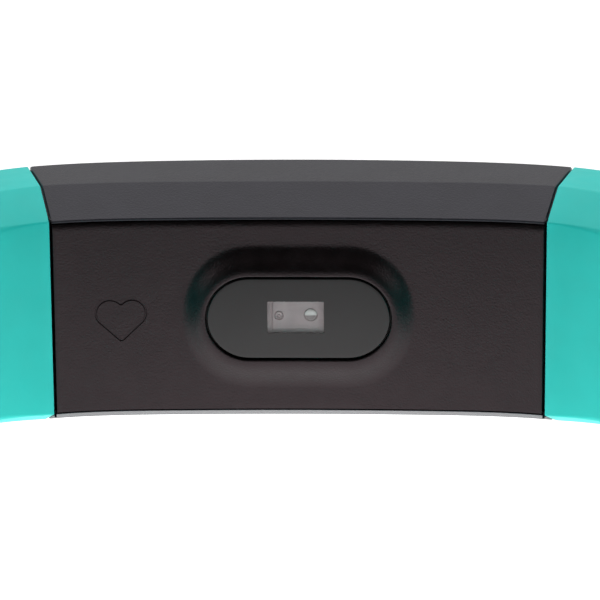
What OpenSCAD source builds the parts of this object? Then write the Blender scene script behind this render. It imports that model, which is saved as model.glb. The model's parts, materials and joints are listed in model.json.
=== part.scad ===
// Fitness tracker band, standing on its long edge with the clasp open.
// X runs along the tracker, +Y points from the skin side to the display, +Z across the band.
// The origin is the middle of the flat crease that the tracker stands on.

/* [Tracker] */
// Chord of the skin face, from strap seam to strap seam
pod_l = 45; // [44:0.5:46]
// Height of the skin face between its long edges
face_w = 18.3; // [18:0.1:18.6]
// Greatest width, at the crease of the side walls
pod_w = 22.4; // [22.2:0.1:22.8]
// Thickness from the skin face to the glass
pod_t = 11.5; // [11.3:0.1:12]
// Depth of the crease below the skin face
crease_t = 4.6; // [4.4:0.1:4.8]

/* [Sensor window] */
// Length of the window
lens_l = 16.9; // [16:0.1:17.2]
// Width of the window
lens_w = 8.1; // [7.9:0.1:8.3]
// Height of the hump that carries the window
hump_h = 1.3; // [1.2:0.1:1.5]
// Width of the hump's sloping skirt
hump_run = 2.5; // [2.3:0.1:2.7]

/* [Straps] */
// Width of the straps at the buckle and at the tip
strap_w = 18; // [17.6:0.2:18]
// Thickness of the straps away from the tracker
strap_t = 3.2; // [3:0.1:3.3]
// Radius of the moulded bend beside the tracker
bend_r = 16.5; // [16:0.5:17]
// Length of the buckle strap, from seam to buckle bar
short_l = 68; // [68:0.5:70]
// Length of the hole strap, from seam to tip
long_l = 108; // [107:0.5:112]
// Distance between adjustment holes
hole_pitch = 6; // [5.5:0.1:6]
// Number of adjustment holes
hole_count = 7; // [3:1:7]

/* [Clasp] */
// Length of the buckle from its bar to the outer face of its far bar
buckle_l = 12; // [11.5:0.1:13]
// Thickness of the buckle frame
buckle_t = 2; // [1.8:0.1:2]
// Length of the keeper along the strap
keeper_l = 6; // [5:0.1:6]

/* [Hidden] */
$fn = 48;

// Plan of the tracker: flat in the middle, with an arc at each end that meets it smoothly.
mid_half = 11.5;
end_r = 44;
arc_fn = 720;
end_a = asin((pod_l / 2 - mid_half) / end_r);
end_c = [mid_half, -crease_t - end_r];
pod_corner = end_c + end_r * [sin(end_a), cos(end_a)];

// Section of the tracker: x is the depth below the skin face, y the height off the mid-plane.
z0 = pod_w / 2;
crease_flat = 0.6;
rim_half = z0 - 0.35;
rim_t = pod_t - 0.4;
rim_chamfer = 0.5;
lip = 0.15;
gap = 0.1;
cover_t = 1.3;
seal_t = 0.25;
ledge_half = face_w / 2 - 1.1;
room_half = z0 - 1.3;
end_wall = 2;
glass_t = 1;
glass_half = rim_half - 0.85;
glass_inset = 1.2;
glass_seal_t = 0.2;
skin_y = -crease_t;

// Strap anchorage, in the frame of each end wall: x along the strap, y outwards.
anchor_x = 3;
anchor_y = 5;
ear_r = 2.4;
ear_in = 5;
ear_out = 7.5;
pin_r = 0.75;

// Strap path and flex lines. Each flex line is a length from the seam.
bend_l = bend_r * (90 - end_a) * PI / 180;
taper_l = 42;
thick_from = 3;
short_flex = [23, 39, 55];
long_flex = [23, 41, 60];
flex_gap = 0.35;
first_hole = 64;
hole_r = 1.35;

// Buckle bar and what turns on it.
bar_r = 0.75;
bar_bore = 0.8;
bar_len = 17.6;
tip_r = 0.4;
barrel_r = 1.9;
tongue_w = 2.2;
tongue_r = 1.7;
slot_w = 3.4;
arm_w = 1.8;
arm_gap = 18.4;
far_bar = 2.4;
eye_r = 1.7;
spring_from = 12.5;
spring_to = 17.5;

// Keeper: the skin side of its hole lies just off the strap's skin side.
keeper_at = 48.3;
keeper_wall = 1.3;
keeper_room = 6.7;
keeper_half = strap_w / 2 + 0.3;

slate = [0.27, 0.27, 0.30];
ink = [0.15, 0.14, 0.14];
teal = [0.16, 0.76, 0.72];

// ---- helpers --------------------------------------------------------------

function smooth(x) = let (c = max(0, min(1, x))) c * c * (3 - 2 * c);
function mix(a, b, k) = a + (b - a) * k;

// Sweeps a section along the tracker's plan, stopping short of each end by inset.
module pod_sweep(inset = 0) {
    stop = end_a - inset / end_r * 180 / PI;
    translate([-mid_half, skin_y, z0]) rotate([90, 0, 90]) linear_extrude(2 * mid_half) children();
    for (side = [0, 1]) mirror([side, 0, 0])
        translate([end_c.x, end_c.y, z0]) rotate(90) mirror([0, 1, 0])
            rotate_extrude(angle = stop, $fn = arc_fn) translate([end_r, 0]) children();
}

// A section that is the same above and below the mid-plane, from its upper points.
module twin(upper) {
    lower = [for (i = [len(upper) - 1 : -1 : 0]) [upper[i].x, -upper[i].y]];
    polygon(concat(upper, lower));
}

// Moves children to a strap anchorage: side 1 is the buckle strap, -1 the hole strap.
module at_end(side) {
    mirror([side < 0 ? 1 : 0, 0, 0])
        translate([pod_corner.x, pod_corner.y, z0]) rotate(-end_a) children();
}

module mirror_z() {
    children();
    mirror([0, 0, 1]) children();
}

// A box given by its middle in X, its depth range below the skin face, and its middle in Z.
module slab(size, x = 0, t = 0, z = 0) {
    translate([x - size.x / 2, skin_y + t, z0 + z - size.z / 2]) cube(size);
}

// A slot-shaped plate facing the skin, from depth t to t + thick.
module stadium(l, w, t, thick) {
    translate([0, skin_y + t + thick, z0]) rotate([90, 0, 0]) linear_extrude(thick) {
        square([l - w, w], center = true);
        for (x = [-1, 1]) translate([x * (l - w) / 2, 0]) circle(d = w);
    }
}

// ---- tracker shell --------------------------------------------------------

module case_section() {
    twin([
        [0, face_w / 2], [crease_t - crease_flat / 2, z0], [crease_t + crease_flat / 2, z0],
        [rim_t - rim_chamfer, rim_half], [rim_t, rim_half - rim_chamfer]
    ]);
}

// The room inside the case, from the cover's ledge to under the glass.
module room_section() {
    twin([
        [cover_t - 0.01, ledge_half], [2.2, ledge_half], [crease_t - 0.4, room_half],
        [pod_t - glass_t - 0.6, room_half - 0.4], [pod_t - glass_t + 0.01, room_half - 0.4]
    ]);
}

module ear() {
    difference() {
        union() {
            translate([-0.5, anchor_y - ear_r, ear_in]) cube([anchor_x + 0.5, 2 * ear_r, ear_out - ear_in]);
            translate([anchor_x, anchor_y, ear_in]) cylinder(r = ear_r, h = ear_out - ear_in);
        }
        translate([anchor_x, anchor_y, ear_in - 1]) cylinder(r = pin_r + 0.03, h = ear_out - ear_in + 2);
    }
}

contact_x = [-2.6, 2.6];
contact_t = 7.6;
contact_r = 0.9;

module case_frame() {
    color(slate) {
        difference() {
            pod_sweep() case_section();
            pod_sweep(end_wall) room_section();
            pod_sweep(lip) twin([[-1, face_w / 2 - lip], [cover_t, face_w / 2 - lip]]);
            pod_sweep(glass_inset) twin([[pod_t - glass_t, glass_half], [pod_t + 1, glass_half]]);
            for (x = contact_x)
                translate([x, skin_y + contact_t, -1]) cylinder(r = contact_r + 0.05, h = 4);
        }
        for (side = [1, -1]) at_end(side) mirror_z() ear();
    }
}

// Skirt of the sensor hump: an S curve from the window's rim to a fine edge on the cover.
rim_flat = 0.25;
skirt_steps = 6;
skirt_edge = 0.04;
function skirt(i) = let (k = i / skirt_steps) [rim_flat + hump_run * k, mix(hump_h, skirt_edge, smooth(k))];
skirt_line = [for (i = [0 : skirt_steps]) skirt(i)];

// Half of the hump's section: x outwards from the window's centre line, y towards the skin.
module hump_section() {
    r = lens_w / 2 + gap;
    translate([r, 0]) polygon(concat([[-r, -0.6]], [[-r, hump_h]], skirt_line, [[rim_flat + hump_run, -0.6]]));
}

module hump() {
    run = lens_l - lens_w;
    translate([0, skin_y, z0]) rotate([90, 0, 0]) {
        for (side = [0, 1]) mirror([side, 0, 0])
            translate([run / 2, 0, 0]) rotate(-90) rotate_extrude(angle = 180) hump_section();
        for (side = [0, 1]) mirror([0, side, 0])
            rotate([90, 0, 90]) translate([0, 0, -run / 2]) linear_extrude(run) hump_section();
    }
}

// Engraved outline of a heart beside the hump: two lobes and a point.
mark_x = -16.2;
mark_lobe = 1.4;
mark_line = 0.15;
mark_deep = 0.15;

module heart(r) {
    c = mark_lobe / sqrt(2);
    for (x = [-c, c]) translate([x, c]) circle(r = r);
    rotate(45) square(2 * r, center = true);
}

module mark() {
    intersection() {
        translate([mark_x, 0, z0 - 0.2]) rotate([90, 0, 0]) linear_extrude(20) difference() {
            heart(mark_lobe);
            heart(mark_lobe - mark_line);
        }
        pod_sweep(1) twin([[-0.5, 5], [mark_deep, 5]]);
    }
}

module back_cover() {
    half = face_w / 2 - lip - 0.05;
    color(ink) difference() {
        union() {
            pod_sweep(lip + 0.05) twin([[0, half - 0.3], [0.3, half], [cover_t - seal_t, half]]);
            hump();
        }
        stadium(lens_l + 2 * gap, lens_w + 2 * gap, -hump_h - 1, 1 + 0.85);
        stadium(lens_l - 1.4, lens_w - 1.4, -hump_h - 1, 6);
        slab([8, 1, 4], x = 11.4, t = flex_t - 0.1);
        mark();
    }
}

// Adhesive ring between the cover and the case's ledge: two long strips joined by end bars.
module cover_seal() {
    outer = face_w / 2 - lip - 0.2;
    inner = ledge_half + 0.2;
    color("black") {
        pod_sweep(lip + 0.35) for (z = [-outer, inner])
            translate([cover_t - seal_t, z]) square([seal_t, outer - inner]);
        for (side = [1, -1]) at_end(side) translate([-end_wall + 0.3, cover_t - seal_t + 0.005, -outer + 0.1])
            cube([1.2, seal_t - 0.05, 2 * outer - 0.2]);
    }
}

module display_glass() {
    color([0.02, 0.02, 0.03]) pod_sweep(glass_inset + gap) twin([
        [pod_t - glass_t + glass_seal_t, glass_half - gap], [pod_t - 0.45, glass_half - gap],
        [pod_t - 0.15, glass_half - 0.5], [pod_t, glass_half - 1.2]
    ]);
}

module display_seal() {
    half = glass_half - 0.2;
    color("dimgray") difference() {
        pod_sweep(glass_inset + 0.3) twin([[pod_t - glass_t, half], [pod_t - glass_t + glass_seal_t, half]]);
        pod_sweep(end_wall + 0.6) twin([[pod_t - glass_t - 1, half - 1], [pod_t, half - 1]]);
    }
}

// ---- heart-rate sensor ----------------------------------------------------

window_t = 0.6;
mask_t = 0.1;
window_l = 5.3;
window_w = 3.1;
package = [5.2, 1, 3];
package_t = -hump_h + window_t + mask_t + 0.05;

module sensor_window() {
    color([0.55, 0.55, 0.6, 0.4]) stadium(lens_l, lens_w, -hump_h, window_t);
}

module window_mask() {
    color("black") difference() {
        stadium(lens_l - 0.1, lens_w - 0.1, -hump_h + window_t, mask_t);
        slab([window_l, 1, window_w], t = -hump_h + window_t - 0.3);
    }
}

module window_seal() {
    color("dimgray") difference() {
        stadium(lens_l - 0.2, lens_w - 0.2, -hump_h + window_t + mask_t, 0.15);
        stadium(lens_l - 1.3, lens_w - 1.3, -hump_h + window_t, 1);
    }
}

module sensor_package() {
    color("gainsboro") difference() {
        slab(package, t = package_t);
        translate([-1.55, skin_y + package_t - 1, z0 + 0.1]) rotate([-90, 0, 0]) cylinder(r = 0.5, h = 1.4);
        translate([1.45, skin_y + package_t - 1, z0 + 0.1]) rotate([-90, 0, 0]) cylinder(r = 0.62, h = 1.4);
    }
}

module sensor_led() {
    color("palegreen") translate([-1.55, skin_y + package_t + 0.05, z0 + 0.1]) rotate([-90, 0, 0])
        cylinder(r = 0.45, h = 0.35);
}

module sensor_photodiode() {
    color("whitesmoke") translate([1.45, skin_y + package_t + 0.05, z0 + 0.1]) rotate([-90, 0, 0])
        cylinder(r = 0.57, h = 0.35);
}

board_t = package_t + package.y;
board_thick = 0.5;
flex_t = board_t + board_thick;

module sensor_board() {
    color("darkgreen") slab([13, board_thick, 5], t = board_t);
}

// ---- chassis, power and electronics ---------------------------------------

battery_size = [24, 3.2, 13];
battery_t = 1.5;
plate_t = battery_t + battery_size.y + 0.3;
main_t = plate_t + 1.4;
screw_x = [-16, 15];
screw_z = [-6, 6];

module chassis() {
    color("dimgray") difference() {
        union() {
            slab([34, 0.7, 15.6], x = -0.5, t = plate_t);
            for (x = [-8, 8]) slab([4, 0.7, 2 * room_half - 0.2], x = x, t = plate_t);
            for (x = screw_x) for (z = screw_z)
                translate([x, skin_y + plate_t - 1.6, z0 + z]) rotate([-90, 0, 0]) cylinder(r = 1.1, h = 3);
            for (x = [-1, 1]) slab([0.8, battery_size.y, 12], x = x * 12.8, t = battery_t + 0.35);
        }
        for (x = screw_x) for (z = screw_z)
            translate([x, skin_y + plate_t - 1.2, z0 + z]) rotate([-90, 0, 0]) cylinder(r = 0.47, h = 4);
        slab([1.2, 1.2, 4.4], x = 16.2, t = plate_t - 0.25);
    }
}

module battery() {
    color("silver") slab(battery_size, t = battery_t);
}

module battery_pad() {
    color("gold") slab([20, 0.3, 10], t = battery_t + battery_size.y);
}

module main_board() {
    color("darkgreen") difference() {
        slab([35, 0.8, 15], x = -0.5, t = main_t);
        for (x = screw_x) for (z = screw_z)
            translate([x, skin_y + main_t - 1, z0 + z]) rotate([-90, 0, 0]) cylinder(r = 0.55, h = 3);
    }
}

module board_screws() {
    color("silver") for (x = screw_x) for (z = screw_z)
        translate([x, skin_y + main_t - 1.8, z0 + z]) rotate([-90, 0, 0]) {
            cylinder(r = 0.42, h = 2.6);
            translate([0, 0, 2.6]) cylinder(r = 0.9, h = 0.45);
        }
}

// A chip on the display side of the main board.
module chip(size, x, z) {
    slab([size.x, size.y, size.z], x = x, t = main_t + 0.8, z = z);
}

module processor() {
    color("black") chip([6, 0.8, 6], -9, 1);
}

module radio_module() {
    color("silver") chip([6.5, 0.9, 5], 5, -3);
}

module motion_sensor() {
    color("black") chip([2.5, 0.7, 3], 10.6, 2.6);
}

module antenna() {
    color("goldenrod") slab([10, 0.15, 2.4], x = 2, t = main_t + 0.8, z = 5.6);
}

module sensor_flex() {
    color("orange") {
        slab([10.6, 0.12, 3.4], x = 10.8, t = flex_t);
        slab([0.12, main_t - flex_t, 3.4], x = 16.1, t = flex_t);
        slab([1.4, 0.12, 3.4], x = 16.8, t = main_t - 0.12);
    }
}

module charge_contacts() {
    color("gold") for (x = contact_x) translate([x, skin_y + contact_t, 0]) {
        translate([0, 0, 0.22]) cylinder(r = contact_r, h = 1.9);
        translate([0, 0, 1.9]) cylinder(r = 0.5, h = 1.2);
    }
}

module contact_seals() {
    color("black") for (x = contact_x) translate([x, skin_y + contact_t, 2.12]) difference() {
        cylinder(r = 1.3, h = 0.4);
        translate([0, 0, -1]) cylinder(r = 0.52, h = 3);
    }
}

module contact_board() {
    color("darkgreen") slab([8, 2.6, 0.6], t = contact_t - 1.3, z = 3.1 + 0.3 - z0);
}

motor_x = 18.4;
motor_t = 4.2;

module vibration_motor() {
    color("silver") translate([motor_x, skin_y + motor_t, z0 - 6]) difference() {
        cylinder(r = 1.8, h = 8);
        translate([0, 0, 3]) cylinder(r = 0.35, h = 6);
    }
}

module motor_weight() {
    color("dimgray") translate([motor_x, skin_y + motor_t, z0 - 6]) {
        translate([0, 0, 3.2]) cylinder(r = 0.3, h = 8.2);
        translate([0, 0, 8.4]) rotate(90) rotate_extrude(angle = 180) translate([0.001, 0]) square([1.6, 3]);
    }
}

module display_panel() {
    color("black") slab([29, 1.3, 13.6], x = -1, t = pod_t - glass_t - 2.1);
}

module display_flex() {
    color("orange") {
        slab([1.8, 0.12, 6], x = -16.4, t = pod_t - glass_t - 1.6);
        slab([0.12, pod_t - glass_t - 1.6 - main_t - 0.8, 6], x = -17.3, t = main_t + 0.8);
        slab([1, 0.12, 6], x = -16.8, t = main_t + 0.8);
    }
}

// ---- strap anchorages -----------------------------------------------------

insert_l = 9.5;

module strap_insert(side) {
    color("dimgray") at_end(side) difference() {
        union() {
            translate([anchor_x, anchor_y, -ear_in + gap]) cylinder(r = 2.1, h = 2 * (ear_in - gap));
            translate([anchor_x, anchor_y - 0.9, -ear_in + gap])
                cube([insert_l - anchor_x, 1.8, 2 * (ear_in - gap)]);
            translate([insert_l - 3, anchor_y - 0.9, -ear_out]) cube([3, 1.8, 2 * ear_out]);
        }
        translate([anchor_x, anchor_y, -9]) cylinder(r = pin_r + 0.03, h = 18);
    }
}

module short_insert() strap_insert(1);
module long_insert() strap_insert(-1);

module strap_pin(side) {
    color("silver") at_end(side) translate([anchor_x, anchor_y, -ear_out + 0.1])
        cylinder(r = pin_r, h = 2 * ear_out - 0.2);
}

module short_pin() strap_pin(1);
module long_pin() strap_pin(-1);

// ---- straps ---------------------------------------------------------------

function heading(s) = end_a + min(max(s, 0), bend_l) / bend_r * 180 / PI;
function skin(s) = let (h = heading(s))
    pod_corner + bend_r * [sin(h) - sin(end_a), cos(h) - cos(end_a)] - [0, max(0, s - bend_l)];
function outward(s) = let (h = heading(s)) [sin(h), cos(h)];
function fullness(s) = 1 - smooth((s - thick_from) / (bend_l + 1 - thick_from));
function strap_thick(s) = mix(strap_t, rim_t, fullness(s));
function half_width(s) = mix(z0, strap_w / 2, min(1, s / taper_l));

// Section of a strap at length s: the tracker's own at the seam, a rounded slab further on.
function strap_half(s) = let (k = fullness(s), t = strap_thick(s), w = half_width(s)) [
    [0, w - mix(0.7, z0 - face_w / 2, k)],
    [mix(0.7, crease_t - crease_flat / 2, k), w],
    [mix(strap_t - 0.7, crease_t + crease_flat / 2, k), w],
    [mix(strap_t - 0.3, rim_t - rim_chamfer, k), w - mix(0.2, z0 - rim_half, k)],
    [t, w - mix(0.7, z0 - rim_half + rim_chamfer, k)]
];
function strap_ring(s) = let (h = strap_half(s), p = skin(s), n = outward(s), last = len(h) - 1) [
    for (i = [0 : last]) [p.x + n.x * h[i].x, p.y + n.y * h[i].x, z0 + h[i].y],
    for (i = [last : -1 : 0]) [p.x + n.x * h[i].x, p.y + n.y * h[i].x, z0 - h[i].y]
];

// A solid strap from length a to length b, with a ring about every step millimetres.
module strap_loft(a, b, step = 2.2) {
    count = max(1, ceil((b - a) / step));
    rings = [for (i = [0 : count]) strap_ring(mix(a, b, i / count))];
    n = len(rings[0]);
    sides = [for (i = [0 : count - 1]) for (j = [0 : n - 1]) let (k = (j + 1) % n) each [
        [i * n + j, i * n + k, (i + 1) * n + k],
        [i * n + j, (i + 1) * n + k, (i + 1) * n + j]
    ]];
    near = [for (j = [1 : n - 2]) [0, j + 1, j]];
    far = [for (j = [1 : n - 2]) [count * n, count * n + j, count * n + j + 1]];
    polyhedron(points = [for (r = rings) each r], faces = concat(sides, near, far));
}

// The part of a strap between two flex lines. Its near end is round about its own flex axis.
module strap_span(a, b) {
    mid = strap_thick(a) / 2;
    r = mid - 0.02;
    axis = skin(a) + outward(a) * mid;
    strap_loft(a, b - strap_thick(b) / 2 - flex_gap);
    translate([axis.x, axis.y, z0 - half_width(a) + 0.7]) cylinder(r = r, h = 2 * half_width(a) - 1.4);
}

// The strap's root fits over the ears, the pin and the insert.
module strap_root(side, to) {
    color(teal) difference() {
        mirror([side < 0 ? 1 : 0, 0, 0]) strap_loft(0, to - strap_thick(to) / 2 - flex_gap, 1.5);
        at_end(side) {
            translate([-1, anchor_y - ear_r - gap, -ear_out - gap])
                cube([anchor_x + 1, 2 * (ear_r + gap), 2 * (ear_out + gap)]);
            translate([anchor_x, anchor_y, -ear_out - gap])
                cylinder(r = ear_r + gap, h = 2 * (ear_out + gap));
            translate([anchor_x, anchor_y - 1, -ear_out - gap])
                cube([insert_l - anchor_x + gap, 2, 2 * (ear_out + gap)]);
        }
    }
}

// Punches the adjustment holes that lie between lengths a and b.
module holes(a, b) {
    for (i = [0 : hole_count - 1]) let (s = first_hole + i * hole_pitch) if (s > a && s < b)
        translate([skin(s).x - 1, skin(s).y, z0]) rotate([0, 90, 0]) cylinder(r = hole_r, h = strap_t + 2);
}

module strap_short_root() strap_root(1, short_flex[0]);
module strap_long_root() strap_root(-1, long_flex[0]);

module strap_short_inner() color(teal) strap_span(short_flex[0], short_flex[1]);
module strap_short_middle() color(teal) strap_span(short_flex[1], short_flex[2]);

bar_at = skin(short_l) + outward(short_l) * strap_t / 2;

// The buckle end of the strap rolls round the bar and is slotted for the tongue.
module strap_short_end() {
    color(teal) difference() {
        union() {
            strap_span(short_flex[2], short_l + strap_t / 2 + flex_gap);
            translate([bar_at.x, bar_at.y, z0 - strap_w / 2]) cylinder(r = barrel_r, h = strap_w);
        }
        translate([bar_at.x, bar_at.y, -1]) cylinder(r = bar_bore, h = pod_w + 2);
        translate([bar_at.x - 4, bar_at.y - 4, z0 - slot_w / 2]) cube([8, 4 + 3.2, slot_w]);
    }
}

module strap_long_inner() color(teal) mirror([1, 0, 0]) strap_span(long_flex[0], long_flex[1]);
module strap_long_middle() color(teal) mirror([1, 0, 0]) strap_span(long_flex[1], long_flex[2]);

// The far end of the hole strap, with its tip rounded in the plane of the strap.
module strap_long_end() {
    tip = skin(long_l);
    r = strap_w / 2;
    color(teal) mirror([1, 0, 0]) difference() {
        strap_span(long_flex[2], long_l + strap_t / 2 + flex_gap);
        holes(long_flex[2], long_l);
        translate([tip.x - 1, tip.y - 1, z0 - r - 1]) difference() {
            cube([strap_t + 2, r * 0.75 + 1, 2 * r + 2]);
            translate([-1, r * 1.25 + 1, r + 1]) rotate([0, 90, 0]) cylinder(r = r * 1.25, h = strap_t + 4);
        }
    }
}

// ---- clasp ----------------------------------------------------------------

// A ring round the strap with room for the other strap's end outside it.
module keeper() {
    p = skin(keeper_at);
    w = keeper_wall;
    h = keeper_half;
    color(teal) translate([p.x - 0.15, p.y - keeper_l / 2, z0]) difference() {
        translate([-w, 0, -h - w]) cube([keeper_room + 2 * w, keeper_l, 2 * (h + w)]);
        translate([0, -1, -h]) cube([keeper_room, keeper_l + 2, 2 * h]);
    }
}

// Plan of the buckle: a frame open at the bar, corners round at the far bar.
module buckle_outline(far, half, r) {
    translate([-eye_r, -half]) square([far + eye_r - r, 2 * half]);
    translate([far - r - 0.01, -half + r]) square([r + 0.01, 2 * (half - r)]);
    for (z = [-1, 1]) translate([far - r, z * (half - r)]) circle(r = r);
}

module buckle_frame() {
    half = arm_gap / 2 + arm_w;
    color("silver") translate([bar_at.x, bar_at.y, z0]) difference() {
        union() {
            translate([-buckle_t / 2, 0, 0]) rotate([0, 90, 0]) rotate(-90) linear_extrude(buckle_t)
                difference() {
                    translate([eye_r, 0]) buckle_outline(buckle_l - eye_r, half, 3);
                    translate([-4, 0]) buckle_outline(buckle_l - far_bar + 4, arm_gap / 2, 1.5);
                    translate([-8, -arm_gap / 2]) square([9, arm_gap]);
                }
            mirror_z() translate([0, 0, arm_gap / 2]) cylinder(r = eye_r, h = arm_w);
        }
        mirror_z() translate([0, 0, arm_gap / 2 - 1]) cylinder(r = tip_r + 0.05, h = 2.1);
    }
}

// Side view of the tongue: x along the strap from the bar, y outwards.
module buckle_tongue() {
    reach = buckle_l + 0.6;
    lift = buckle_t / 2 + 0.08;
    color("silver") translate([bar_at.x, bar_at.y, z0]) difference() {
        union() {
            translate([0, 0, -tongue_w / 2 - 0.3]) cylinder(r = tongue_r, h = tongue_w + 0.6);
            translate([0, 0, -tongue_w / 2]) rotate(-90) linear_extrude(tongue_w) polygon([
                [0, 0.6], [1.2, 0.6], [buckle_l - far_bar - 1.6, lift], [reach, lift], [reach + 0.2, lift + 0.5],
                [reach - 0.4, lift + 1.1], [buckle_l - far_bar - 1, lift + 1.1], [0, tongue_r]
            ]);
        }
        translate([0, 0, -4]) cylinder(r = bar_bore, h = 8);
    }
}

// Spring bar: a tube with one fixed tip below and one sprung tip above.
bar_low = z0 - bar_len / 2;
bar_high = z0 + bar_len / 2;

module bar_tube() {
    color("gray") translate([bar_at.x, bar_at.y, 0]) rotate_extrude() polygon([
        [0, z0 - arm_gap / 2 - 0.9], [tip_r, z0 - arm_gap / 2 - 0.9], [tip_r, bar_low], [bar_r, bar_low],
        [bar_r, bar_high], [tip_r + 0.02, bar_high], [tip_r + 0.02, bar_high - 0.4],
        [0.55, bar_high - 0.4], [0.55, spring_from], [0, spring_from]
    ]);
}

module bar_tip() {
    color("lightgray") translate([bar_at.x, bar_at.y, 0]) {
        translate([0, 0, spring_to]) cylinder(r = 0.5, h = 0.8);
        translate([0, 0, spring_to + 0.8]) cylinder(r = tip_r, h = z0 + arm_gap / 2 + 0.9 - spring_to - 0.8);
    }
}

spring_turns = 8;
spring_wire = 0.1;
spring_r = 0.36;
spring_sides = 6;
spring_steps = 12;

// Round wire wound on a helix, swept ring by ring.
module bar_spring() {
    count = spring_turns * spring_steps;
    rise = spring_to - spring_from - 2 * spring_wire - 0.04;
    ring = function (i) let (a = i * 360 / spring_steps, z = rise * i / count) [
        for (j = [0 : spring_sides - 1]) let (b = j * 360 / spring_sides, r = spring_r + spring_wire * cos(b))
            [r * cos(a), r * sin(a), z + spring_wire * sin(b)]
    ];
    n = spring_sides;
    color("silver") translate([bar_at.x, bar_at.y, spring_from + spring_wire + 0.02]) polyhedron(
        points = [for (i = [0 : count]) each ring(i)],
        faces = concat(
            [for (i = [0 : count - 1]) for (j = [0 : n - 1]) let (k = (j + 1) % n) each [
                [i * n + j, i * n + k, (i + 1) * n + k], [i * n + j, (i + 1) * n + k, (i + 1) * n + j]
            ]],
            [[for (j = [n - 1 : -1 : 0]) j]],
            [[for (j = [0 : n - 1]) count * n + j]]
        ));
}

// ---- the part -------------------------------------------------------------

case_frame();
back_cover();
cover_seal();
sensor_window();
window_mask();
window_seal();
sensor_package();
sensor_led();
sensor_photodiode();
sensor_board();
sensor_flex();
chassis();
battery();
battery_pad();
main_board();
board_screws();
processor();
radio_module();
motion_sensor();
antenna();
charge_contacts();
contact_seals();
contact_board();
vibration_motor();
motor_weight();
display_panel();
display_flex();
display_seal();
display_glass();
short_insert();
long_insert();
short_pin();
long_pin();
strap_short_root();
strap_short_inner();
strap_short_middle();
strap_short_end();
strap_long_root();
strap_long_inner();
strap_long_middle();
strap_long_end();
keeper();
buckle_frame();
buckle_tongue();
bar_tube();
bar_tip();
bar_spring();
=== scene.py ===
"""Fitness tracker band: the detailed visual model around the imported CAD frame.

Lengths are in millimetres, and MM turns them into metres where they reach Blender. X runs along the tracker,
-Y is the skin side, Z runs across the band, and z = 0 is what it stands on. A depth is measured inwards from
the skin face, so what stands above that face has a negative depth.
"""
import json
import math

import bmesh
import bpy
import numpy as np
from mathutils import Matrix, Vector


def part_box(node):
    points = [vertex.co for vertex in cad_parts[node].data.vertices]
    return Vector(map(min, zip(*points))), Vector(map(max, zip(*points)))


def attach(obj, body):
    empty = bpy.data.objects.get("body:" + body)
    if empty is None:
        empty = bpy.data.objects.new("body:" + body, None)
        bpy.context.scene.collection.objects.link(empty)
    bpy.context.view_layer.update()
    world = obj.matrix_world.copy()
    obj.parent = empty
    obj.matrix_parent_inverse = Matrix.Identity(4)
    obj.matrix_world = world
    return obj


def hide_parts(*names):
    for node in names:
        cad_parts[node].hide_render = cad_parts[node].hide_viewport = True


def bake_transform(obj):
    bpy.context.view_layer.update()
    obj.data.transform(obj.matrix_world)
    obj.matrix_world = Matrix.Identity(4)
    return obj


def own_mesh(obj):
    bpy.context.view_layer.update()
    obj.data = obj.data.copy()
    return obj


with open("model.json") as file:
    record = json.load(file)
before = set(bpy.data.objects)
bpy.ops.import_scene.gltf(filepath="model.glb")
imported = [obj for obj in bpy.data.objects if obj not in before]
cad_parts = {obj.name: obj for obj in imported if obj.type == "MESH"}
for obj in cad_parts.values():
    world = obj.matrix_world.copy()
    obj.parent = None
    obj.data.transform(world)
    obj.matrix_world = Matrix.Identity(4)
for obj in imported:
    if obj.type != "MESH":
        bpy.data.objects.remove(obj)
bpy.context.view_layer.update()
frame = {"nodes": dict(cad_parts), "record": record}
scene = bpy.context.scene

MM = 0.001

# ---- driving dimensions ----

Z0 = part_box("case_frame")[1].z / MM / 2  # the mid-plane
SKIN_Y = -4.6  # the skin face at mid length
HALF_L = 21.9  # half the tracker's length at the skin face
END_A = math.radians(14.48)  # how far each end leans
CAD_CORNER = (22.5, 1.397)  # the CAD seam corner: x, and how far it sags
FACE_HALF = 9.17
CREASE_HALF = Z0
CREASE_T = 4.35  # depth of the side walls' crease
RIM_HALF = 10.98
RIM_T = 11.1  # depth of the rim at the tracker's ends
RIM_BULGE = 0.25  # how much deeper the rim is at mid length
END_ROUND = 0.1
ROOM_END = 2.0  # thickness of the end walls
GLASS_END = 1.2  # the same beside the glass
COVER_TOP = 8.8  # the cover sits low in its recess: the gap shows above it
COVER_LOW = 9.06
LIP_TOP = 8.98  # where the case's lip starts, above and below the cover
LIP_LOW = 9.1
COVER_T = 1.05
LENS_L = 16.37
LENS_W = 7.55
LENS_GAP = 0.19
LENS_SUNK = 0.1  # how far the window lies below the hump's top
HUMP_H = 1.17
HUMP_RUN = 2.55
STRAP_T = 3.2
STRAP_HALF = 9.0
BEND_R = 16.5  # radius of the straps' turn beside the case
TAPER_L = 42.0  # the straps narrow over this length
SEAM_GAP = 0.2
SEAM_LIP = 0.13  # how far a lip of the case reaches into the gap
SEAM_DEEP = 0.36  # how deep that lip lies


def smooth(x):
    """0 below 0, 1 above 1, and an S curve between."""
    x = np.clip(x, 0, 1)
    return x * x * (3 - 2 * x)


def mix(a, b, k):
    return a + (b - a) * k


def quarter_round(distance, radius):
    """How far a rounded edge draws a surface in, at a distance from that edge."""
    left = radius - min(distance, radius)
    return radius - math.sqrt(max(0, radius**2 - left**2))


# ---- mesh building ----


def make_mesh(name, verts, faces, sharp=35):
    """A mesh object from points in millimetres, welded, with smooth faces and sharp edges above an angle."""
    mesh = bpy.data.meshes.new(name)
    mesh.from_pydata([tuple(float(c) * MM for c in v) for v in verts], [], faces)
    obj = bpy.data.objects.new(name, mesh)
    scene.collection.objects.link(obj)
    clean(obj, sharp)
    return obj


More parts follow.
